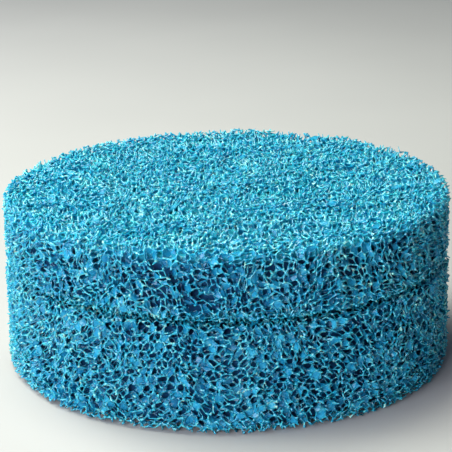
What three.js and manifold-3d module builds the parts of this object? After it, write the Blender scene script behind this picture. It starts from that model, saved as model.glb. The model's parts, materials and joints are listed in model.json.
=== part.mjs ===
// Sponge filter cartridge: a blind foam disc on a foam sleeve, pushed over a slotted strainer that
// twists onto a weighted base with a rubber pipe grommet. Millimetres, +Z up, axis of the foam on Z,
// resting on z = 0.
import * as THREE from "three";
import { mergeVertices } from "three/addons/utils/BufferGeometryUtils.js";
import Module from "manifold-3d";

const wasm = await Module();
wasm.setup();

// Foam: both pieces are cut from standard 1 inch and 1.5 inch sheet.
const FOAM_R = 80;
const SLEEVE_H = 38;
const DISC_H = 25;
const SLEEVE_BORE_R = 31;
const GAP = 0.3;
const DISC_Z = SLEEVE_H + GAP;

// Hard parts: everything fits inside the sleeve's bore.
const CORE_R = 30.4;
const WALL = 2;
const FEET_H = 0.8;
const COVER_T = 2;
const BASE_Z = FEET_H + COVER_T + GAP;
const BASE_TOP = 9.4;
const SCREW_CIRCLE_R = 23.5;
const PIPE_R = 12.5;
const PIPE_STOP_R = 11;
const SOCKET_R = 15.5;
const SOCKET_TOP = 15;
const NECK_R = 25.6;
const NECK_TOP = 17;
const RING_Z = NECK_TOP - 1.8;

// Strainer: a slotted drum, twist-locked to the base below and to its cap above.
const CAGE_IN_R = 26;
const CAGE_OUT_R = 29.6;
const CAGE_Z = BASE_TOP + GAP;
const CAGE_TOP = 35;
const SLOTS = 20;
const SLOT_W = 3.4;
const SLOT_Z = [17.8, 29.6];
const BASE_LUG_Z = [11.8, 13.2];
const CAP_LUG_Z = [31.4, 33];
const LUG_WIDTH_DEG = 14;
const LUG_CLEAR_DEG = 1.5;
const TWIST_DEG = 30;
const PEG_TOP = 50.5;
const POCKET_R = 5;
const LUG_ANGLES = [30, 150, 270];

// Fastenings and feet, on one circle under the base.
const SCREW_ANGLES = [90, 210, 330];
const SCREW_HEAD_R = 2.6;
const FOOT_ANGLES = [30, 150, 270];

const rad = THREE.MathUtils.degToRad;
const V2 = (r, z) => new THREE.Vector2(r, z);

// three.js geometry to and from a closed solid.
function solid(geometry) {
  const g = geometry.clone();
  g.deleteAttribute("normal");
  g.deleteAttribute("uv");
  const merged = mergeVertices(g, 1e-4);
  return new wasm.Manifold(
    new wasm.Mesh({
      numProp: 3,
      vertProperties: new Float32Array(merged.attributes.position.array),
      triVerts: new Uint32Array(merged.index.array),
    }),
  );
}

function geometryOf(manifold) {
  const mesh = manifold.getMesh();
  const g = new THREE.BufferGeometry();
  g.setAttribute("position", new THREE.BufferAttribute(mesh.vertProperties, 3));
  g.setIndex(new THREE.BufferAttribute(mesh.triVerts, 1));
  const flat = g.toNonIndexed();
  flat.computeVertexNormals();
  return flat;
}

// A turned solid about Z. The profile is [r, z] pairs, anticlockwise in the r-z plane.
function turned(profile, segments = 48) {
  const points = profile.map(([r, z]) => V2(r, z));
  const closed = profile[0][0] === 0 ? points : [...points, points[0].clone()];
  const g = new THREE.LatheGeometry(closed, segments);
  g.rotateX(Math.PI / 2);
  return solid(g);
}

// A block of a ring between two angles, from z0 to z1.
function sector(r0, r1, fromDeg, toDeg, z0, z1) {
  const steps = Math.max(2, Math.ceil((toDeg - fromDeg) / 5));
  const angles = Array.from({ length: steps + 1 }, (_, i) => rad(fromDeg + ((toDeg - fromDeg) * i) / steps));
  const at = (r, a) => V2(r * Math.cos(a), r * Math.sin(a));
  const outline = [...angles.map((a) => at(r1, a)), ...angles.reverse().map((a) => at(r0, a))];
  const g = new THREE.ExtrudeGeometry(new THREE.Shape(outline), { depth: z1 - z0, bevelEnabled: false });
  return solid(g.translate(0, 0, z0));
}

function post(r, x, y, z0, z1, segments = 18) {
  const g = new THREE.CylinderGeometry(r, r, z1 - z0, segments);
  return solid(g.rotateX(Math.PI / 2).translate(x, y, (z0 + z1) / 2));
}

// A box that lies along the radius at an angle.
function radialBox(r0, r1, width, z0, z1, deg) {
  const g = new THREE.BoxGeometry(r1 - r0, width, z1 - z0);
  g.translate((r0 + r1) / 2, 0, (z0 + z1) / 2).rotateZ(rad(deg));
  return solid(g);
}

const around = (angles, make) => angles.map((deg) => make(rad(deg), deg));
const cut = (body, tools) => tools.reduce((s, t) => s.subtract(t), body);
const join = (body, tools) => tools.reduce((s, t) => s.add(t), body);

// Quarter-round corner points from angle a to b about a centre, for soft edges.
function corner(rc, zc, radius, fromDeg, toDeg, steps = 4) {
  return Array.from({ length: steps + 1 }, (_, i) => {
    const a = rad(fromDeg + ((toDeg - fromDeg) * i) / steps);
    return [rc + radius * Math.cos(a), zc + radius * Math.sin(a)];
  });
}

// Top sponge: a plain disc with a blind pocket underneath for the cap's barbed peg.
function topDisc() {
  const top = DISC_Z + DISC_H;
  const rim = 4;
  return turned(
    [
      [0, PEG_TOP + 1.5],
      [POCKET_R, PEG_TOP + 1.5],
      [POCKET_R, DISC_Z],
      [FOAM_R - 1, DISC_Z],
      [FOAM_R, DISC_Z + 1],
      ...corner(FOAM_R - rim, top - rim, rim, 0, 90),
      [0, top],
    ],
    72,
  );
}

// Lower sponge: a ring whose bore grips the strainer.
function sleeve() {
  return turned(
    [
      [SLEEVE_BORE_R, 0],
      [FOAM_R - 1, 0],
      [FOAM_R, 1],
      [FOAM_R, SLEEVE_H - 1],
      [FOAM_R - 1, SLEEVE_H],
      [SLEEVE_BORE_R, SLEEVE_H],
    ],
    72,
  );
}

// Strainer cap: a domed lid with a skirt, three outward lugs, finger pockets and a barbed peg.
function cageCap() {
  const skirt = CAGE_IN_R - 0.4;
  const lid = CAGE_TOP + GAP;
  const lidTop = lid + 2.2;
  const barb = (z) => [
    [2.7, z],
    [4.2, z + 0.6],
    [2.9, z + 3],
  ];
  const body = turned([
    [0, lid + 0.2],
    [skirt - WALL, lid + 0.2],
    [skirt - WALL, 30],
    [skirt - 0.5, 30],
    [skirt, 30.5],
    [skirt, lid],
    [CORE_R - 0.8, lid],
    ...corner(CORE_R - 1.8, lidTop - 1, 1, 0, 90, 3),
    [5.6, lidTop],
    [4.2, lidTop + 0.6],
    ...barb(40.5),
    ...barb(43.8),
    ...barb(47),
    [1.2, PEG_TOP],
    [0, PEG_TOP],
  ]);
  const lugs = around(LUG_ANGLES, (_, deg) => {
    return sector(skirt - 1, CAGE_OUT_R - 0.2, deg - LUG_WIDTH_DEG / 2, deg + LUG_WIDTH_DEG / 2, ...CAP_LUG_Z);
  });
  const pockets = around([0, 180], (_, deg) => sector(12, 20, deg - 38, deg + 38, lidTop - 1.1, lidTop + 1));
  return cut(join(body, lugs), pockets);
}

// An L-shaped window through the drum wall: a run for the lug to turn in, and its way in.
// turn is +1 where the free end lies anticlockwise of the locked lug, -1 where it lies clockwise.
function lugWindow(deg, turn, lugZ, openTo) {
  const half = LUG_WIDTH_DEG / 2 + LUG_CLEAR_DEG;
  const run = turn > 0 ? [deg - half, deg + TWIST_DEG + half] : [deg - TWIST_DEG - half, deg + half];
  const entry = deg + turn * TWIST_DEG;
  const z = [lugZ[0] - 0.4, lugZ[1] + 0.4];
  const mouth = openTo > z[1] ? [z[0], openTo] : [openTo, z[1]];
  return [
    sector(CAGE_IN_R - 1, CAGE_OUT_R + 1, ...run, ...z),
    sector(CAGE_IN_R - 1, CAGE_OUT_R + 1, entry - half, entry + half, ...mouth),
  ];
}

// Strainer drum: vertical slots between outside ribs, with L windows at both rims.
function strainerCage() {
  const body = turned([
    [CAGE_IN_R, CAGE_Z],
    [CAGE_OUT_R - 0.4, CAGE_Z],
    [CAGE_OUT_R, CAGE_Z + 0.4],
    [CAGE_OUT_R, CAGE_TOP - 0.4],
    [CAGE_OUT_R - 0.4, CAGE_TOP],
    [CAGE_IN_R, CAGE_TOP],
  ]);
  const pitch = 360 / SLOTS;
  const slotAngles = Array.from({ length: SLOTS }, (_, i) => i * pitch);
  const ribs = around(slotAngles, (_, deg) => {
    return radialBox(CAGE_OUT_R - 1, CORE_R, 1.4, SLOT_Z[0] - 1, SLOT_Z[1] + 1, deg + pitch / 2);
  });
  const slots = around(slotAngles, (_, deg) => radialBox(CAGE_IN_R - 2, CORE_R + 2, SLOT_W, ...SLOT_Z, deg));
  const baseWindows = LUG_ANGLES.flatMap((deg) => lugWindow(deg, -1, BASE_LUG_Z, CAGE_Z - 1));
  const capWindows = LUG_ANGLES.flatMap((deg) => lugWindow(deg, 1, CAP_LUG_Z, CAGE_TOP + 1));
  return cut(join(body, ribs), [...slots, ...baseWindows, ...capWindows]);
}

// Base: an outer skirt, a web with a screwed ballast pocket under it, a pipe socket, and a neck
// with three lugs and an O-ring groove that the strainer locks onto.
function baseBody() {
  const web = BASE_TOP - 1.6;
  const body = turned([
    [SOCKET_R, BASE_Z],
    [SOCKET_R + 2.2, BASE_Z],
    [SOCKET_R + 2.2, web],
    [CORE_R - 1.8, web],
    [CORE_R - 1.8, BASE_Z],
    [CORE_R - 0.4, BASE_Z],
    [CORE_R, BASE_Z + 0.4],
    [CORE_R, BASE_TOP - 0.5],
    [CORE_R - 0.5, BASE_TOP],
    [NECK_R, BASE_TOP],
    [NECK_R, RING_Z - 0.9],
    [NECK_R - 1.4, RING_Z - 0.9],
    [NECK_R - 1.4, RING_Z + 0.9],
    [NECK_R, RING_Z + 0.9],
    [NECK_R - 0.5, NECK_TOP],
    [NECK_R - 3.6, NECK_TOP],
    [NECK_R - 3.6, BASE_TOP],
    [SOCKET_R + 2.2, BASE_TOP],
    [SOCKET_R + 2.2, SOCKET_TOP + 1.6],
    [PIPE_STOP_R, SOCKET_TOP + 1.6],
    [PIPE_STOP_R, SOCKET_TOP],
    [PIPE_R + 0.6, SOCKET_TOP],
    [PIPE_R + 1.1, SOCKET_TOP + 0.5],
    [SOCKET_R, SOCKET_TOP + 0.5],
  ]);
  const lugs = around(LUG_ANGLES, (_, deg) => {
    return sector(NECK_R - 1, CAGE_OUT_R - 0.2, deg - LUG_WIDTH_DEG / 2, deg + LUG_WIDTH_DEG / 2, ...BASE_LUG_Z);
  });
  const at = (a) => [SCREW_CIRCLE_R * Math.cos(a), SCREW_CIRCLE_R * Math.sin(a)];
  const bosses = around(SCREW_ANGLES, (a) => post(3, ...at(a), BASE_Z, web + 0.5));
  const pilots = around(SCREW_ANGLES, (a) => post(1.4, ...at(a), BASE_Z - 1, web));
  return cut(join(body, [...lugs, ...bosses]), pilots);
}

// O-ring between the neck and the strainer.
function neckRing() {
  return turned(corner(NECK_R - 0.65, RING_Z, 0.7, 0, 315, 7));
}

// Rubber grommet in the socket: a foot flange and three lips that grip the pipe.
function pipeGrommet() {
  const lip = (z) => [
    [PIPE_R + 0.9, z + 1.6],
    [PIPE_R, z + 0.6],
    [PIPE_R, z],
    [PIPE_R + 0.9, z - 0.6],
  ];
  const top = SOCKET_TOP - GAP;
  const flange = BASE_Z - GAP;
  return turned([
    [PIPE_R + 1.4, FEET_H],
    [SOCKET_R + 1.2, FEET_H],
    [SOCKET_R + 1.2, flange],
    [SOCKET_R - GAP, flange],
    [SOCKET_R - GAP, top],
    [PIPE_R + 0.9, top],
    ...lip(11),
    ...lip(7.2),
    ...lip(3.4),
  ]);
}

// Ballast: a steel ring in the base's pocket, with clearance holes for the screw bosses.
function ballastRing() {
  const z0 = BASE_Z + 0.3;
  const z1 = BASE_TOP - 1.9;
  const body = turned([
    [SOCKET_R + 2.7, z0],
    [CORE_R - 2.2, z0],
    [CORE_R - 2.2, z1],
    [SOCKET_R + 2.7, z1],
  ]);
  const holes = around(SCREW_ANGLES, (a) => {
    return post(3.4, SCREW_CIRCLE_R * Math.cos(a), SCREW_CIRCLE_R * Math.sin(a), z0 - 1, z1 + 1);
  });
  return cut(body, holes);
}

// Cover plate: closes the ballast pocket; countersunk from below, with recesses for the feet.
function baseCover() {
  const z1 = FEET_H + COVER_T;
  const body = turned([
    [SOCKET_R + 1.8, FEET_H],
    [CORE_R - 0.7, FEET_H],
    [CORE_R, FEET_H + 0.7],
    [CORE_R, z1],
    [SOCKET_R + 1.8, z1],
  ]);
  const sinks = around(SCREW_ANGLES, (a) => {
    const sink = turned(
      [
        [0, FEET_H - 1],
        [SCREW_HEAD_R + 0.4, FEET_H - 1],
        [SCREW_HEAD_R + 0.4, FEET_H + 0.3],
        [1.5, FEET_H + 1.5],
        [1.5, z1 + 1],
        [0, z1 + 1],
      ],
      18,
    );
    return sink.translate([SCREW_CIRCLE_R * Math.cos(a), SCREW_CIRCLE_R * Math.sin(a), 0]);
  });
  const recesses = around(FOOT_ANGLES, (a) => {
    return post(3.7, SCREW_CIRCLE_R * Math.cos(a), SCREW_CIRCLE_R * Math.sin(a), FEET_H - 1, FEET_H + 0.8, 32);
  });
  return cut(body, [...sinks, ...recesses]);
}

// Countersunk self-tapping screw with a cross recess, head down.
function coverScrew(a) {
  const body = turned(
    [
      [0, FEET_H + 0.2],
      [SCREW_HEAD_R, FEET_H + 0.2],
      [SCREW_HEAD_R, FEET_H + 0.4],
      [1.1, FEET_H + 1.6],
      [1.1, 6.6],
      [0, 7.4],
    ],
    18,
  );
  const bars = [0, 90].map((deg) => {
    const g = new THREE.BoxGeometry(2.6, 0.6, 1.6);
    return solid(g.rotateZ(rad(deg)).translate(0, 0, FEET_H + 0.2));
  });
  return cut(body, bars).translate([SCREW_CIRCLE_R * Math.cos(a), SCREW_CIRCLE_R * Math.sin(a), 0]);
}

// Rubber foot pad with a softened rim.
function footPad(a) {
  const pad = turned(
    [
      [0, 0],
      [2.7, 0],
      [3.2, 0.3],
      [3.4, 0.8],
      [3.4, FEET_H + 0.5],
      [0, FEET_H + 0.5],
    ],
    32,
  );
  return pad.translate([SCREW_CIRCLE_R * Math.cos(a), SCREW_CIRCLE_R * Math.sin(a), 0]);
}

const MATERIALS = {
  foam: { color: 0x1593c4, roughness: 0.75, metalness: 0 },
  plastic: { color: 0x24272b, roughness: 0.5, metalness: 0 },
  rubber: { color: 0x17181a, roughness: 0.85, metalness: 0 },
  steel: { color: 0xb9bcc0, roughness: 0.35, metalness: 1 },
};

const part = new THREE.Group();
function place(name, manifold, material) {
  const mesh = new THREE.Mesh(geometryOf(manifold), new THREE.MeshStandardMaterial(MATERIALS[material]));
  mesh.name = name;
  part.add(mesh);
}

place("sponge_top_disc", topDisc(), "foam");
place("sponge_sleeve", sleeve(), "foam");
place("cage_cap", cageCap(), "plastic");
place("strainer_cage", strainerCage(), "plastic");
place("base_body", baseBody(), "plastic");
place("neck_o_ring", neckRing(), "rubber");
place("pipe_grommet", pipeGrommet(), "rubber");
place("ballast_ring", ballastRing(), "steel");
place("base_cover", baseCover(), "plastic");
SCREW_ANGLES.forEach((deg, i) => place(`cover_screw_${i + 1}`, coverScrew(rad(deg)), "steel"));
FOOT_ANGLES.forEach((deg, i) => place(`foot_pad_${i + 1}`, footPad(rad(deg)), "rubber"));

export default part;
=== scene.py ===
"""Looks of the sponge filter: real open-cell foam networks for the two sponges, and materials for the core.

The foam is a network of triangular struts that meet four to a node, as in reticulated filter foam. Its
nodes are the corners of a jittered body-centred cell packing, and struts that cross a face are cut there.
"""

import json
import math

import bpy
import numpy as np
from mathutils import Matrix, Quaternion, Vector

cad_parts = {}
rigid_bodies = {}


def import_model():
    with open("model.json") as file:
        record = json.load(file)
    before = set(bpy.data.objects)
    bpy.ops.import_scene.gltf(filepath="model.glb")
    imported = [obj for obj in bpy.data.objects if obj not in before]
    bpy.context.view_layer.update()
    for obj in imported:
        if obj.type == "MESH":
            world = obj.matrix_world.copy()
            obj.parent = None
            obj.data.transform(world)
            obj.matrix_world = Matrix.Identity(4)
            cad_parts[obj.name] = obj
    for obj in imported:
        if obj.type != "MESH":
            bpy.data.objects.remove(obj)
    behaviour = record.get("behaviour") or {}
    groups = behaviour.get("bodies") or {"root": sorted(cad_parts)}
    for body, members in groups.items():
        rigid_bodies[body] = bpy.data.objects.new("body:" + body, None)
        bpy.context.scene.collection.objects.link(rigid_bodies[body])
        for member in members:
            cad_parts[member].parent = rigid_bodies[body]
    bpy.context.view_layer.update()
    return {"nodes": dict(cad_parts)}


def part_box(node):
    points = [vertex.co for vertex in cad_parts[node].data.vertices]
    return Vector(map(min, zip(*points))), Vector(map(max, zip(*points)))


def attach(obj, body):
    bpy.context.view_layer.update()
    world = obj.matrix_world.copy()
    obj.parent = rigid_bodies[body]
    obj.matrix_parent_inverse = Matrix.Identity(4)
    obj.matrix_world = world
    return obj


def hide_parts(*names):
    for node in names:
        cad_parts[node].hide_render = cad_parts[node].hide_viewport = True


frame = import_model()

# A millimetre in metres, and a full turn in radians.
MM = 0.001
TURN = 6.283

# Foam block sizes in millimetres. The outer ones come from the CAD's boxes, and the bore and the pocket
# repeat the CAD's own sizes.
disc_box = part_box("sponge_top_disc")
FOAM_R = round(disc_box[1][0] / MM, 2)
DISC_Z = (round(disc_box[0][2] / MM, 2), round(disc_box[1][2] / MM, 2))
SLEEVE_TOP = round(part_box("sponge_sleeve")[1][2] / MM, 2)
BORE_R = 31.0
POCKET_R, POCKET_TOP = 5.0, 52.0

# Edge radii: the rim of the top face, and the edges at the joint and the foot.
RIM_R = 2.6
JOINT_R = 2.2

# How far the cut faces stand in from the block's, which leaves room for the fuzz. The sleeve's wall is a
# little outside. Then how uneven they are, and the spread of their wave numbers, in radians per millimetre.
DISC_INSET = 0.3
SLEEVE_INSET = -0.1
JOINT_INSET = 0.2
FOOT_INSET = 0.1
DISC_WAVE = 0.35
SLEEVE_WAVE = 0.45
FACE_WAVES = 0.055

# Foam cells: edge of the cube that holds two cells, how far cells and nodes stray from their places, and
# the slow warp of the whole packing, with the spread of its wave numbers.
CELL = 4.3
JITTER = 0.18 * CELL
JITTER_LIMIT = 0.4 * CELL
NODE_JITTER = 0.04 * CELL
WARP = 0.15 * CELL
WARP_WAVES = 0.13

# Radii of nodes and struts, how much they vary at nodes, at the struts' middles and at cut ends, and how far
# a middle strays from its strut's line.
NODE_R = 0.56
NODE_SPREAD = (0.8, 1.25)
STRUT_R = 0.23
MIDDLE_SPREAD = (0.75, 1.25)
END_SPREAD = (0.6, 1.15)
BEND = 0.07

# The network starts this deep, and goes this far below the faces that show and below those that are hidden
# until the filter is taken apart. The last two are the depths of the painted-shade body behind the network.
MIN_DEPTH = 0.15
SHOWN_DEPTH = 5.2
HIDDEN_DEPTH = 2.6
INNER_DEPTH = 4.1
TOP_INNER_DEPTH = 3.5

# Cut strut ends stand this far out of a face, and some are longer whiskers. No end passes this share of its
# strut. Ends at hidden faces stop short of them.
FUZZ = (-0.3, 0.6)
WHISKER_SHARE = 0.12
WHISKER = (0.4, 1.1)
MAX_REACH = 0.97
HIDDEN_FUZZ = -0.1

# Webs: the share of windows that have a film, where webs are few and where they are many; the share of
# those that are closed right round; how much faster than the faces' waves the first share varies; thickness
# and bulge; and a direction that no line between two cells is parallel to, to measure angles from.
WEB_SHARE = (0.4, 0.78)
FULL_WEB_SHARE = 0.35
WEB_PATCHES = 2.6
WEB_T = 0.05
WEB_BULGE = 0.12
OFF_AXIS = (0.31, 0.52, 0.79)

# The body of painted shade: edge length of its faces, how far its lumps stand out, its bevel under the top
# face's rim, and how far it keeps from the bore and from the pocket's wall and top.
INNER_STEP = 2.2
LUMP = 0.35
LUMP_LIMIT = 0.6
INNER_BEVEL = 1.2
BORE_WALL = 2.4
POCKET_WALL = 1.5
POCKET_ROOF = 2

# Where each sponge's mesh is split into pieces: depth of its walls, the disc's top and the sleeve's ends.
WALL_DEPTH = 6.5
TOP_DEPTH = 8
END_DEPTH = 4.5

# Painted shade: struts are painted darker between these depths in millimetres, towards these blues. Light
# through the top face takes this share of the painted shade away, as painted light.
GLOOM = (0.8, 4.0)
PAINTED_SHADE_BLUE = (0.002, 0.05, 0.15), (0.006, 0.14, 0.31)
TOP_LIGHT = 0.8

# The core's corners are merged within this many metres, and then its facets are shaded as one surface where
# they meet at less than this angle, in radians.
WELD = 1e-6
SHARP_ANGLE = math.radians(32)


# ---------------------------------------------------------------- signed depths below the foam's faces
def low_wave(p, amount, seed):
    """A slow unevenness of the cut faces, in millimetres."""
    rng = np.random.default_rng(seed)
    k = rng.normal(0, FACE_WAVES, (6, 3))
    phase = rng.uniform(0, TURN, 6)
    return amount * np.sin(p @ k.T + phase).mean(axis=1) * 2


def disc_depths(p):
    """Depth of each point below the disc's open faces and below its hidden faces."""
    r = np.hypot(p[:, 0], p[:, 1])
    wave = low_wave(p, DISC_WAVE, 3)
    side = FOAM_R - DISC_INSET + wave - r
    top = DISC_Z[1] - DISC_INSET + wave - p[:, 2]
    corner = RIM_R - np.hypot(np.maximum(RIM_R - side, 0), np.maximum(RIM_R - top, 0))
    shown = np.where((side < RIM_R) & (top < RIM_R), corner, np.minimum(side, top))
    low = p[:, 2] - DISC_Z[0] - JOINT_INSET
    bevel = JOINT_R - np.hypot(np.maximum(JOINT_R - side, 0), np.maximum(JOINT_R - low, 0))
    hidden = np.where((side < JOINT_R) & (low < JOINT_R), bevel, low)
    pocket = np.maximum(r - POCKET_R, p[:, 2] - POCKET_TOP)
    return shown, np.minimum(hidden, pocket)


def sleeve_depths(p):
    """The same for the sleeve: the outer wall is open, and the ends and the bore are hidden at rest."""
    r = np.hypot(p[:, 0], p[:, 1])
    side = FOAM_R - SLEEVE_INSET + low_wave(p, SLEEVE_WAVE, 11) - r
    high = SLEEVE_TOP - JOINT_INSET - p[:, 2]
    low = p[:, 2] - FOOT_INSET
    ends = np.minimum(high, low)
    bevel = JOINT_R - np.hypot(np.maximum(JOINT_R - side, 0), np.maximum(JOINT_R - ends, 0))
    hidden = np.where((side < JOINT_R) & (ends < JOINT_R), bevel, ends)
    return side, np.minimum(hidden, r - BORE_R)


# ---------------------------------------------------------------- the cell packing
def turned(points, seed):
    """Points turned by a fixed odd angle, so that no row of cells lines up with a cut face."""
    q, _ = np.linalg.qr(np.random.default_rng(seed).normal(size=(3, 3)))
    return points @ q.T


def packing(centre, half, seed):
    """Sites and tetrahedra of a jittered body-centred packing that covers a box of half size half.

    The last result says which tetrahedra are left-handed before the jitter, so that all faces wind one way.
    """
    rng = np.random.default_rng(seed)
    n = int(math.ceil(2 * np.linalg.norm(half) / CELL)) + 3
    grid = np.stack(np.meshgrid(*[np.arange(n)] * 3, indexing="ij"), axis=-1).reshape(-1, 3)
    raw = np.concatenate([grid, grid + 0.5]).astype(float) - n / 2
    sites = turned(raw * CELL, seed)
    even = sites
    near = (np.abs(sites) < half + 3 * CELL).all(axis=1)
    sites = sites + rng.normal(0, JITTER, sites.shape).clip(-JITTER_LIMIT, JITTER_LIMIT)
    for _ in range(4):
        wave = rng.normal(0, WARP_WAVES, (3, 3))
        sites = sites + WARP * np.sin(sites @ wave.T + rng.uniform(0, TURN, 3))
    sites = sites + centre

    def index(ijk, kind):
        return kind * n**3 + (ijk[:, 0] * n + ijk[:, 1]) * n + ijk[:, 2]

    inner = grid[((grid > 0) & (grid < n - 1)).all(axis=1)]
    inner = inner[near[index(inner, 0)]]
    unit = np.eye(3, dtype=int)
    tets = []
    for k in range(3):
        for i in {0, 1, 2} - {k}:
            j = 3 - k - i
            for m in (0, -1):
                ends = (inner, inner + unit[k]), (inner - unit[i] + m * unit[j], inner + m * unit[j])
                ids = [index(e, kind) for kind, pair in enumerate(ends) for e in pair]
                tets.append(np.stack(ids, axis=1))
    tets = np.sort(np.concatenate(tets), axis=1)
    left_handed = np.linalg.det(even[tets[:, 1:]] - even[tets[:, :1]]) < 0
    return sites, tets, left_handed


def neighbours(tets, n_sites):
    """For each tetrahedron and each corner x, the one that shares the face opposite x, or -1."""
    keys = []
    for x in range(4):
        t = np.delete(tets, x, axis=1).astype(np.int64)
        keys.append((t[:, 0] * n_sites + t[:, 1]) * n_sites + t[:, 2])
    keys = np.stack(keys, axis=1).ravel()
    order = np.argsort(keys, kind="stable")
    same = keys[order[1:]] == keys[order[:-1]]
    a, b = order[:-1][same], order[1:][same]
    other = np.full(len(keys), -1)
    other[a], other[b] = b, a
    return np.where(other >= 0, other // 4, -1).reshape(-1, 4)


# The pairs of a tetrahedron's corners, and each face's ring of corners seen from outside.
PAIRS = [(0, 1), (0, 2), (0, 3), (1, 2), (1, 3), (2, 3)]
RINGS = [(1, 2, 3), (0, 3, 2), (0, 1, 3), (0, 2, 1)]


def pair_id(a, b):
    return PAIRS.index((min(a, b), max(a, b)))


def ring_pairs(x):
    """The three corner pairs round the face opposite x, and each one's slot in that face's sorted pairs."""
    u, v, w = RINGS[x]
    pairs = [(u, v), (v, w), (w, u)]
    corners = sorted(RINGS[x])
    slots = [(corners[0], corners[1]), (corners[0], corners[2]), (corners[1], corners[2])]
    return [pair_id(*p) for p in pairs], [slots.index((min(p), max(p))) for p in pairs]


def facing_pairs(x):
    """The three pairs that corner x shares with the others."""
    u, v, w = RINGS[x]
    return [pair_id(x, u), pair_id(x, w), pair_id(x, v)]


class Mesh:
    """Vertices and triangles gathered in blocks, each triangle with a label."""

    def __init__(self):
        self.points, self.tris, self.labels, self.count = [], [], [], 0

    def add_points(self, p):
        start = self.count
        self.points.append(p.reshape(-1, 3))
        self.count += len(self.points[-1])
        return start

    def add_tris(self, a, b, c, flip, label):
        t = np.stack([a, b, c], axis=-1).reshape(-1, 3)
        t[flip] = t[flip][:, ::-1]
        self.tris.append(t)
        self.labels.append(label)


def across(rails, axis):
    """Unit directions square to a strut's axis, as near as can be to the given rails."""
    rails = rails - (rails * axis[:, None]).sum(axis=2, keepdims=True) * axis[:, None]
    return rails / np.linalg.norm(rails, axis=2, keepdims=True)


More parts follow.
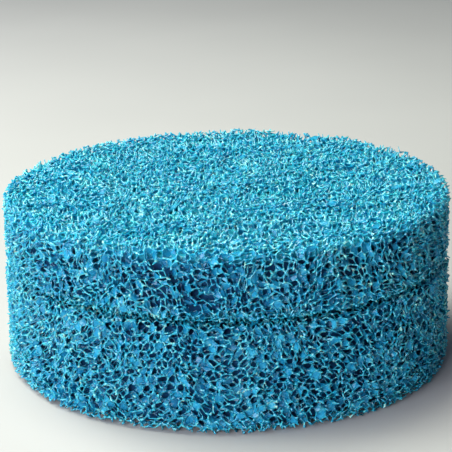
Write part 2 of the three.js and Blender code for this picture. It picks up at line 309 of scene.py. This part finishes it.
class Foam(Mesh):
    """One sponge's strut mesh, on a node in each tetrahedron. Struts are capped where regions meet."""

    def __init__(self, sites, tets, flip, depths, region_of, rng):
        super().__init__()
        self.sites, self.tets, self.flip, self.rng = sites, tets, flip, rng
        nodes = sites[tets].mean(axis=1)
        self.nodes = nodes + rng.normal(0, NODE_JITTER, nodes.shape)
        self.shown, self.hidden = depths(self.nodes)
        self.depth = np.minimum(self.shown, self.hidden)
        near_face = (self.shown < SHOWN_DEPTH) | (self.hidden < HIDDEN_DEPTH)
        self.keep = (self.depth > MIN_DEPTH) & near_face
        self.ids = np.flatnonzero(self.keep)
        self.region = region_of(self.nodes)
        self.near = neighbours(tets, len(sites))
        self.add_nodes()
        self.add_struts([self.add_cut_ends(x) for x in range(4)])

    def add_faces(self, ring, ids):
        self.add_tris(*ring, self.flip[ids], self.region[ids])

    def add_tubes(self, ring, far, ids):
        """Two triangles on each of a strut's three sides, from one ring of vertices to the next."""
        for i in range(3):
            j = (i + 1) % 3
            self.add_faces((ring[i], ring[j], far[j]), ids)
            self.add_faces((ring[i], far[j], far[i]), ids)

    def add_nodes(self):
        """Each kept node's six corners, one for each pair of cells, and its four faces between struts."""
        corner = self.sites[self.tets]
        mids = np.stack([(corner[:, a] + corner[:, b]) / 2 for a, b in PAIRS], axis=1)
        self.out = mids - self.nodes[:, None]
        self.out /= np.linalg.norm(self.out, axis=2, keepdims=True)
        size = NODE_R * self.rng.uniform(*NODE_SPREAD, len(self.nodes))
        ids = self.ids
        start = self.add_points(self.nodes[ids, None] + self.out[ids] * size[ids, None, None])
        self.first = np.full(len(self.nodes), -1)
        self.first[ids] = start + 6 * np.arange(len(ids))
        for x in range(4):
            self.add_faces([self.first[ids] + q for q in facing_pairs(x)], ids)

    def reaches(self, ids, other, over):
        """How far along its strut each cut end lies, as a share of the strut's length, and that length."""
        fall = np.maximum(self.depth[ids] - self.depth[other], 1e-6)
        reach = np.where(over, self.depth[ids] / fall, 0)
        length = np.linalg.norm(self.nodes[other] - self.nodes[ids], axis=1)
        n = len(ids)
        whisker = self.rng.uniform(*WHISKER, n) * (self.rng.random(n) < WHISKER_SHARE)
        open_face = self.shown[other] < self.hidden[other]
        fuzz = np.where(open_face, self.rng.uniform(*FUZZ, n) + whisker, HIDDEN_FUZZ)
        return np.minimum(reach + fuzz / length, MAX_REACH), length

    def add_cut_ends(self, x):
        """Stubs that end at a face, and caps where there is no strut. Gives the struts that stay whole."""
        ids = self.ids
        pairs, slots = ring_pairs(x)
        other = self.near[ids, x]
        solid = (other >= 0) & self.keep[other]
        over = (other >= 0) & ~self.keep[other] & (self.depth[other] <= MIN_DEPTH)
        reach, length = self.reaches(ids, other, over)
        stub = over & (reach * length > NODE_R)

        bare = ids[~solid & ~stub]
        self.add_faces([self.first[bare] + q for q in pairs], bare)

        cut = ids[stub]
        along = self.nodes[other[stub]] - self.nodes[cut]
        axis = along / np.linalg.norm(along, axis=1, keepdims=True)
        end = self.nodes[cut] + along * reach[stub, None]
        thick = STRUT_R * self.rng.uniform(*END_SPREAD, len(cut))
        rails = across(self.out[cut][:, pairs], axis)
        at = self.add_points(end[:, None] + rails * thick[:, None, None])
        far = [at + 3 * np.arange(len(cut)) + k for k in range(3)]
        self.add_tubes([self.first[cut] + q for q in pairs], far, cut)
        self.add_faces(far, cut)
        return ids[solid], other[solid], pairs, slots

    def add_struts(self, whole):
        """Struts between kept nodes, each with one slim ring at its middle that is met from both ends."""
        middle = np.full((len(self.nodes), 4), -1)
        for x, (here, there, pairs, slots) in enumerate(whole):
            own = here < there
            a, b = here[own], there[own]
            axis = self.nodes[b] - self.nodes[a]
            axis /= np.linalg.norm(axis, axis=1, keepdims=True)
            rails = across(self.out[a][:, pairs], axis)
            by_slot = np.empty_like(rails)
            by_slot[:, slots] = rails
            thick = STRUT_R * self.rng.uniform(*MIDDLE_SPREAD, len(a))
            centre = (self.nodes[a] + self.nodes[b]) / 2 + self.rng.normal(0, BEND, (len(a), 3))
            start = self.add_points(centre[:, None] + by_slot * thick[:, None, None]) + 3 * np.arange(len(a))
            middle[a, x] = start
            back = np.argmax(self.near[b] == a[:, None], axis=1)
            middle[b, back] = start
        for x, (here, there, pairs, slots) in enumerate(whole):
            far = [middle[here, x] + s for s in slots]
            self.add_tubes([self.first[here] + q for q in pairs], far, here)
            border = self.region[here] != self.region[there]
            self.add_faces([f[border] for f in far], here[border])


def rounds(foam):
    """The kept nodes in turn round each line between two cells, which goes through a window of the foam.

    Gives the nodes, the direction of each one's line, where each window starts, how many nodes it has, and
    whether those are all of them.
    """
    ids, sites = foam.ids, foam.sites
    ends = np.sort(foam.tets[ids][:, PAIRS], axis=2).reshape(-1, 2).astype(np.int64)
    node = np.repeat(ids, 6)
    axis = sites[ends[:, 1]] - sites[ends[:, 0]]
    axis /= np.linalg.norm(axis, axis=1, keepdims=True)
    side = np.cross(axis, OFF_AXIS)
    arm = foam.nodes[node] - (sites[ends[:, 0]] + sites[ends[:, 1]]) / 2
    angle = np.arctan2((arm * np.cross(axis, side)).sum(axis=1), (arm * side).sum(axis=1))
    key = ends[:, 0] * len(sites) + ends[:, 1]
    order = np.lexsort((angle, key))
    _, start, count = np.unique(key[order], return_index=True, return_counts=True)
    # Cells of different kinds share windows of six nodes, and cells of one kind share windows of four.
    kinds_differ = (ends[order[start]] >= len(sites) // 2).sum(axis=1) == 1
    whole = count == np.where(kinds_differ, 6, 4)
    return node[order], axis[order], start, count, whole


def webs(foam):
    """Lens-shaped films over some windows, each on a run of the nodes round a line between two cells."""
    rng = foam.rng
    node, axis, start, count, whole = rounds(foam)
    few, many = WEB_SHARE
    patch = low_wave(foam.nodes[node[start]] * WEB_PATCHES, 1.0, 47).clip(-1, 1) / 2 + 0.5
    chosen = whole & (rng.random(len(start)) < few + (many - few) * patch**2)
    start, count = start[chosen], count[chosen]
    run = np.where(rng.random(len(start)) < FULL_WEB_SHARE, count, rng.integers(3, count + 1))
    turn = rng.integers(0, count)

    mesh = Mesh()
    for m in range(3, 7):
        s, n, t = (v[run == m] for v in (start, count, turn))
        entry = s[:, None] + (t[:, None] + np.arange(m)) % n[:, None]
        rim = foam.nodes[node[entry]]
        up = axis[entry[:, 0]]
        centre = rim.mean(axis=1) + up * rng.normal(0, WEB_BULGE, (len(s), 1))
        rim_at = mesh.add_points(rim) + m * np.arange(len(s))
        top = mesh.add_points(centre + up * WEB_T / 2) + np.arange(len(s))
        low = mesh.add_points(centre - up * WEB_T / 2) + np.arange(len(s))
        label = np.zeros(len(s), int)
        flip = np.zeros(len(s), bool)
        for i in range(m):
            a, b = rim_at + i, rim_at + (i + 1) % m
            mesh.add_tris(a, b, top, flip, label)
            mesh.add_tris(b, a, low, flip, label)
    return mesh


def object_of(name, points, tris, smooth=True):
    """A Blender mesh object from points in millimetres and triangles."""
    me = bpy.data.meshes.new(name)
    me.vertices.add(len(points))
    me.vertices.foreach_set("co", (points * MM).astype(np.float32).ravel())
    me.loops.add(3 * len(tris))
    me.loops.foreach_set("vertex_index", tris.astype(np.int32).ravel())
    me.polygons.add(len(tris))
    me.polygons.foreach_set("loop_start", np.arange(0, 3 * len(tris), 3, dtype=np.int32))
    me.update(calc_edges=True)
    me.polygons.foreach_set("use_smooth", np.full(len(tris), smooth))
    ob = bpy.data.objects.new(name, me)
    bpy.context.scene.collection.objects.link(ob)
    return ob


# ---------------------------------------------------------------- painted shade: dark foam behind the network
def inner_body(name, profile, segments=144):
    """A lumpy turned solid behind the strut network, for the cells too deep to see into."""
    profile = np.array(profile, float)
    steps = []
    for a, b in zip(profile, np.roll(profile, -1, axis=0)):
        n = max(1, int(np.linalg.norm(b - a) / INNER_STEP))
        steps.append(a + (b - a) * np.arange(n)[:, None] / n)
    ring = np.concatenate(steps)
    m = len(ring)
    angle = np.arange(segments) * 2 * math.pi / segments
    p = np.stack(
        [
            np.outer(np.cos(angle), ring[:, 0]),
            np.outer(np.sin(angle), ring[:, 0]),
            np.broadcast_to(ring[:, 1], (segments, m)),
        ],
        axis=-1,
    ).reshape(-1, 3)
    off_axis = np.hypot(p[:, 0], p[:, 1]) > 0.5
    lumps = np.random.default_rng(5).normal(0, LUMP, p.shape).clip(-LUMP_LIMIT, LUMP_LIMIT)
    p = p + lumps * off_axis[:, None]
    i, k = np.meshgrid(np.arange(segments), np.arange(m), indexing="ij")
    a, b = i * m + k, i * m + (k + 1) % m
    c, d = (i + 1) % segments * m + (k + 1) % m, (i + 1) % segments * m + k
    tris = np.concatenate([np.stack([a, d, c], -1).reshape(-1, 3), np.stack([a, c, b], -1).reshape(-1, 3)])
    return object_of(name, p, tris)


# ---------------------------------------------------------------- the two sponges
def gloom(p, depths):
    """How little light reaches each point: 0 at a face to 1 deep down, and less under the top face."""
    dark = ((np.minimum(*depths(p)) - GLOOM[0]) / (GLOOM[1] - GLOOM[0])).clip(0, 1)
    from_wall = FOAM_R - np.hypot(p[:, 0], p[:, 1])
    from_top = DISC_Z[1] - p[:, 2]
    # From 0 where the wall is nearer by 2 mm, to 1 where the top face is nearer by 1 mm.
    under_top = ((from_wall - from_top + 2) / 3).clip(0, 1) * (from_top < 2 * SHOWN_DEPTH)
    return dark * (1 - TOP_LIGHT * under_top)


def pieces_of(mesh, prefix, names, depths, smooth=True):
    """The mesh cut into one object for each label. Nothing reaches below the surface it stands on."""
    points, tris, labels = (np.concatenate(v) for v in (mesh.points, mesh.tris, mesh.labels))
    points[:, 2] = np.maximum(points[:, 2], 0)
    made = []
    for k, name in enumerate(names):
        used, t = np.unique(tris[labels == k], return_inverse=True)
        ob = object_of(f"{prefix}_{name}", points[used], t.reshape(-1, 3), smooth)
        # Painted shade: how dark each point is painted, for the light that does not reach it.
        shade = ob.data.attributes.new("gloom", "FLOAT", "POINT")
        shade.data.foreach_set("value", gloom(points[used], depths).astype(np.float32))
        made.append(ob)
    return made


WALL_R = FOAM_R - WALL_DEPTH


def disc_region(p):
    """The top face's halves, the wall's halves, and the underside with the pocket."""
    back = (p[:, 1] > 0).astype(int)
    wall = np.hypot(p[:, 0], p[:, 1]) > WALL_R
    low = p[:, 2] < DISC_Z[1] - TOP_DEPTH
    return np.where(wall, 2 + back, np.where(low, 4, back))


def sleeve_region(p):
    """The wall's halves, the upper end, the lower end and the bore."""
    back = (p[:, 1] > 0).astype(int)
    r = np.hypot(p[:, 0], p[:, 1])
    rest = np.where(p[:, 2] > SLEEVE_TOP - END_DEPTH, 2, np.where(p[:, 2] < END_DEPTH, 3, 4))
    return np.where(r > WALL_R, back, rest)


DISC_PIECES = ["top_front", "top_back", "wall_front", "wall_back", "underside"]
SLEEVE_PIECES = ["wall_front", "wall_back", "top_end", "bottom_end", "bore"]
disc_half = (DISC_Z[1] - DISC_Z[0]) / 2
disc_cells = packing(np.array([0, 0, DISC_Z[0] + disc_half]), np.array([FOAM_R, FOAM_R, disc_half]), 21)
sleeve_cells = packing(np.array([0, 0, SLEEVE_TOP / 2]), np.array([FOAM_R, FOAM_R, SLEEVE_TOP / 2]), 31)
disc_foam = Foam(*disc_cells, disc_depths, disc_region, np.random.default_rng(22))
sleeve_foam = Foam(*sleeve_cells, sleeve_depths, sleeve_region, np.random.default_rng(32))
disc_parts = pieces_of(disc_foam, "disc_foam", DISC_PIECES, disc_depths)
sleeve_parts = pieces_of(sleeve_foam, "sleeve_foam", SLEEVE_PIECES, sleeve_depths)
disc_films = pieces_of(webs(disc_foam), "disc_foam", ["webs"], disc_depths, smooth=False)
sleeve_films = pieces_of(webs(sleeve_foam), "sleeve_foam", ["webs"], sleeve_depths, smooth=False)

disc_low, disc_high = DISC_Z[0] + HIDDEN_DEPTH, DISC_Z[1] - TOP_INNER_DEPTH
inner_r = FOAM_R - INNER_DEPTH
hollow_r, hollow_top = POCKET_R + POCKET_WALL, POCKET_TOP + POCKET_ROOF
disc_inner = inner_body(
    "disc_foam_inner",
    [
        (hollow_r, disc_low),
        (inner_r, disc_low),
        (inner_r, disc_high - INNER_BEVEL),
        (inner_r - INNER_BEVEL, disc_high),
        (0.01, disc_high),
        (0.01, hollow_top),
        (hollow_r, hollow_top),
    ],
)
sleeve_low, sleeve_high = HIDDEN_DEPTH, SLEEVE_TOP - HIDDEN_DEPTH
hole_r = BORE_R + BORE_WALL
sleeve_inner = inner_body(
    "sleeve_foam_inner",
    [(hole_r, sleeve_low), (inner_r, sleeve_low), (inner_r, sleeve_high), (hole_r, sleeve_high)],
)


# ---------------------------------------------------------------- materials
class Nodes:
    """Short calls for building a material's node tree."""

    def __init__(self, name):
        self.material = bpy.data.materials.new(name)
        self.material.use_nodes = True
        self.tree = self.material.node_tree
        self.bsdf = self.tree.nodes["Principled BSDF"]
        self.place = self.new("ShaderNodeTexCoord").outputs["Object"]

    def new(self, kind, **values):
        node = self.tree.nodes.new(kind)
        for key, value in values.items():
            setattr(node, key, value)
        return node

    def link(self, a, b):
        self.tree.links.new(a, b)

    def noise(self, scale, detail=2.0, rough=0.5):
        node = self.new("ShaderNodeTexNoise")
        node.inputs["Scale"].default_value = scale
        node.inputs["Detail"].default_value = detail
        node.inputs["Roughness"].default_value = rough
        self.link(self.place, node.inputs["Vector"])
        return node.outputs["Fac"]

    def ramp(self, fac, stops):
        node = self.new("ShaderNodeValToRGB")
        while len(node.color_ramp.elements) < len(stops):
            node.color_ramp.elements.new(0.5)
        for element, (at, colour) in zip(node.color_ramp.elements, stops):
            element.position = at
            element.color = (*colour, 1) if isinstance(colour, tuple) else (colour, colour, colour, 1)
        self.link(fac, node.inputs["Fac"])
        return node.outputs["Color"]

    def bump(self, height, strength, distance):
        node = self.new("ShaderNodeBump")
        node.inputs["Strength"].default_value = strength
        node.inputs["Distance"].default_value = distance
        self.link(height, node.inputs["Height"])
        self.link(node.outputs["Normal"], self.bsdf.inputs["Normal"])


def foam_material(name, dark, mid, light, painted_glint, gloss, glow):
    """Blue polyester: colour drift, painted pale glints for highlights, painted shade deep down, and a skin
    of uneven gloss.
    """
    n = Nodes(name)
    mix = n.new("ShaderNodeMath", operation="MULTIPLY_ADD")
    n.link(n.noise(60, 1), mix.inputs[0])
    mix.inputs[1].default_value = 0.2
    n.link(n.noise(420, 3, 0.7), mix.inputs[2])
    # Painted shade: the gloom attribute mixes the colour towards dark blues deep in the foam.
    depth = n.new("ShaderNodeAttribute", attribute_name="gloom")
    blend = n.new("ShaderNodeMix", data_type="RGBA")
    n.link(depth.outputs["Fac"], blend.inputs["Factor"])
    # The last stop is a painted highlight: pale glints on the struts.
    colours = [(0.45, dark), (0.61, mid), (0.71, light), (0.79, painted_glint)]
    n.link(n.ramp(mix.outputs[0], colours), blend.inputs["A"])
    n.link(n.ramp(n.noise(260, 3), [(0.35, PAINTED_SHADE_BLUE[0]), (0.7, PAINTED_SHADE_BLUE[1])]), blend.inputs["B"])
    n.link(blend.outputs["Result"], n.bsdf.inputs["Base Color"])
    n.link(n.ramp(n.noise(600, 2), [(0.3, 0.14), (0.7, 0.32)]), n.bsdf.inputs["Roughness"])
    n.bsdf.inputs["Specular IOR Level"].default_value = gloss
    n.bsdf.inputs["Subsurface Weight"].default_value = glow
    n.bsdf.inputs["Subsurface Radius"].default_value = (0.2, 0.8, 1.0)
    n.bsdf.inputs["Subsurface Scale"].default_value = 0.002
    n.bump(n.noise(1300, 2), 0.7, 0.00025)
    return n.material


def inner_material(name):
    """Painted shade for the cells too deep to see into: dark blue, and painted light as a lighter blue under
    the top face, where light gets in.
    """
    n = Nodes(name)
    split = n.new("ShaderNodeSeparateXYZ")
    n.link(n.place, split.inputs[0])
    height = n.new("ShaderNodeMapRange")
    n.link(split.outputs["Z"], height.inputs["Value"])
    height.inputs["From Min"].default_value = (DISC_Z[1] - TOP_INNER_DEPTH - 3) * MM
    height.inputs["From Max"].default_value = (DISC_Z[1] - TOP_INNER_DEPTH) * MM
    blend = n.new("ShaderNodeMix", data_type="RGBA")
    n.link(height.outputs["Result"], blend.inputs["Factor"])
    # Painted shade: dark blues where light hardly reaches; painted light: lighter blues under the top face.
    painted_shade_navy = [(0.35, (0.001, 0.014, 0.048)), (0.7, (0.003, 0.05, 0.135))]
    painted_light_blue = [(0.35, (0.006, 0.20, 0.32)), (0.7, (0.016, 0.34, 0.48))]
    n.link(n.ramp(n.noise(260, 3), painted_shade_navy), blend.inputs["A"])
    n.link(n.ramp(n.noise(260, 3), painted_light_blue), blend.inputs["B"])
    n.link(blend.outputs["Result"], n.bsdf.inputs["Base Color"])
    n.link(n.ramp(n.noise(500, 2), [(0.3, 0.7), (0.7, 0.95)]), n.bsdf.inputs["Roughness"])
    n.bsdf.inputs["Specular IOR Level"].default_value = 0.1
    n.bump(n.noise(400, 3), 0.8, 0.0008)
    return n.material


def moulded_plastic():
    """Charcoal polypropylene: fine spark-eroded grain, faint flow marks and lime bloom."""
    n = Nodes("core_plastic")
    greys = [(0.3, (0.016, 0.018, 0.021)), (0.62, (0.03, 0.033, 0.037)), (0.85, (0.06, 0.065, 0.07))]
    n.link(n.ramp(n.noise(60, 5, 0.6), greys), n.bsdf.inputs["Base Color"])
    n.link(n.ramp(n.noise(350, 3), [(0.3, 0.38), (0.7, 0.58)]), n.bsdf.inputs["Roughness"])
    n.bump(n.noise(3200, 2), 0.35, 0.0001)
    return n.material


def soft_rubber():
    """Black moulded rubber with a dull, slightly dusty skin."""
    n = Nodes("soft_rubber")
    blacks = [(0.3, (0.011, 0.011, 0.012)), (0.7, (0.028, 0.027, 0.027))]
    n.link(n.ramp(n.noise(140, 4), blacks), n.bsdf.inputs["Base Color"])
    n.link(n.ramp(n.noise(700, 3), [(0.3, 0.68), (0.7, 0.9)]), n.bsdf.inputs["Roughness"])
    n.bump(n.noise(1800, 3), 0.4, 0.00012)
    return n.material


def stainless():
    """Plain stainless steel with light wear."""
    n = Nodes("stainless")
    greys = [(0.3, (0.42, 0.42, 0.43)), (0.7, (0.62, 0.62, 0.62))]
    n.link(n.ramp(n.noise(90, 4), greys), n.bsdf.inputs["Base Color"])
    n.link(n.ramp(n.noise(1200, 2), [(0.3, 0.24), (0.7, 0.42)]), n.bsdf.inputs["Roughness"])
    n.bsdf.inputs["Metallic"].default_value = 1.0
    n.bump(n.noise(2600, 2), 0.2, 0.00006)
    return n.material


foam_blue = foam_material(
    "foam_blue",
    dark=(0.005, 0.20, 0.38),
    mid=(0.011, 0.29, 0.47),
    light=(0.045, 0.41, 0.57),
    # Painted highlight: pale mint glints on the struts.
    painted_glint=(0.32, 0.78, 0.72),
    gloss=0.85,
    glow=0.8,
)
foam_web = foam_material(
    "foam_web",
    dark=(0.006, 0.20, 0.40),
    mid=(0.012, 0.29, 0.51),
    light=(0.03, 0.36, 0.57),
    # Painted highlight: pale glints on the webs.
    painted_glint=(0.10, 0.48, 0.65),
    gloss=0.3,
    glow=0.0,
)
foam_deep = inner_material("foam_deep")
plastic, rubber, steel = moulded_plastic(), soft_rubber(), stainless()

for parts, films, inner, body, node, slot in (
    (disc_parts, disc_films, disc_inner, "disc", "sponge_top_disc", "foam_disc"),
    (sleeve_parts, sleeve_films, sleeve_inner, "sleeve", "sponge_sleeve", "foam_sleeve"),
):
    for pieces, material in ((parts, foam_blue), (films, foam_web), ([inner], foam_deep)):
        for piece in pieces:
            piece.data.materials.append(material)
            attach(piece, body)
            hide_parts(node)


def round_walls():
    """A modifier's nodes that shade the CAD's facets as one wall where they meet at a shallow angle."""
    tree = bpy.data.node_groups.new("round_walls", "GeometryNodeTree")
    tree.interface.new_socket("Geometry", in_out="INPUT", socket_type="NodeSocketGeometry")
    tree.interface.new_socket("Geometry", in_out="OUTPUT", socket_type="NodeSocketGeometry")
    first = tree.nodes.new("NodeGroupInput")
    weld = tree.nodes.new("GeometryNodeMergeByDistance")
    weld.inputs["Distance"].default_value = WELD
    angle = tree.nodes.new("GeometryNodeInputMeshEdgeAngle")
    sharp = tree.nodes.new("FunctionNodeCompare")
    sharp.operation = "GREATER_THAN"
    sharp.inputs["B"].default_value = SHARP_ANGLE
    normal = tree.nodes.new("GeometryNodeSetMeshNormal")
    normal.mode = "SHARPNESS"
    last = tree.nodes.new("NodeGroupOutput")
    tree.links.new(first.outputs[0], weld.inputs["Geometry"])
    tree.links.new(angle.outputs["Unsigned Angle"], sharp.inputs["A"])
    tree.links.new(weld.outputs["Geometry"], normal.inputs["Mesh"])
    tree.links.new(sharp.outputs["Result"], normal.inputs["Edge Sharpness"])
    tree.links.new(normal.outputs["Mesh"], last.inputs[0])
    return tree


rounding = round_walls()
for name, ob in frame["nodes"].items():
    if name in ("sponge_top_disc", "sponge_sleeve"):
        continue
    ob.modifiers.new("round_walls", "NODES").node_group = rounding
    soft = name.startswith(("foot", "neck", "pipe"))
    metal = name.startswith(("ballast", "cover_screw"))
    for material_slot in ob.material_slots:
        material_slot.material = rubber if soft else steel if metal else plastic


# ---------------------------------------------------------------- floor, light and camera
def floor_sheet(half=3000.0):
    """A plain pale sheet at the filter's foot, in millimetres."""
    n = Nodes("pale_floor")
    greys = [(0.3, (0.425, 0.425, 0.44)), (0.7, (0.465, 0.465, 0.48))]
    n.link(n.ramp(n.noise(3, 3), greys), n.bsdf.inputs["Base Color"])
    n.bsdf.inputs["Roughness"].default_value = 0.7
    corners = np.array([(-half, -half, 0), (half, -half, 0), (half, half, 0), (-half, half, 0)], float)
    ob = object_of("floor", corners, np.array([(0, 1, 2), (0, 2, 3)]), smooth=False)
    ob.data.materials.append(n.material)


def area_light(name, at, aim, size, power, colour=(1, 1, 1)):
    """A square soft light of the given side, aimed at a point."""
    data = bpy.data.lights.new(name, "AREA")
    data.size = size
    data.energy = power
    data.color = colour
    ob = bpy.data.objects.new(name, data)
    ob.location = at
    ob.rotation_euler = (Vector(aim) - Vector(at)).to_track_quat("-Z", "Y").to_euler()
    bpy.context.scene.collection.objects.link(ob)


def camera(elevation, distance, look, lens, roll):
    """The scene's camera, straight in front of the filter. Angles are in degrees and lens in millimetres."""
    data = bpy.data.cameras.new("camera")
    data.lens = lens
    ob = bpy.data.objects.new("camera", data)
    e = math.radians(elevation)
    ob.location = Vector(look) + Vector((0, -distance * math.cos(e), distance * math.sin(e)))
    aim = (Vector(look) - ob.location).to_track_quat("-Z", "Y")
    ob.rotation_euler = (aim @ Quaternion((0, 0, 1), math.radians(roll))).to_euler()
    bpy.context.scene.collection.objects.link(ob)
    bpy.context.scene.camera = ob


floor_sheet()
camera(elevation=17.3, distance=0.6, look=(-0.0003, 0, 0.0465), lens=132, roll=-0.9)
middle_of_filter = (0, 0, 0.04)
area_light("key", (-0.58, -0.42, 0.56), middle_of_filter, 0.45, 1, (1, 1, 0.94))
area_light("top", (-0.3, 0.12, 0.86), middle_of_filter, 0.6, 13.2, (0.98, 1, 0.84))
area_light("fill", (-0.44, -0.86, 0.22), middle_of_filter, 0.6, 13.6, (0.98, 0.95, 0.96))
area_light("backdrop", (-0.6, 0.5, 0.5), (-0.3, 0.5, 0), 0.4, 2.8)
world = bpy.data.worlds.new("studio")
world.use_nodes = True
world.node_tree.nodes["Background"].inputs["Color"].default_value = (0.66, 0.80, 1.0, 1)
world.node_tree.nodes["Background"].inputs["Strength"].default_value = 0.14
bpy.context.scene.world = world
bpy.context.scene.view_settings.view_transform = "Standard"

bpy.context.view_layer.update()
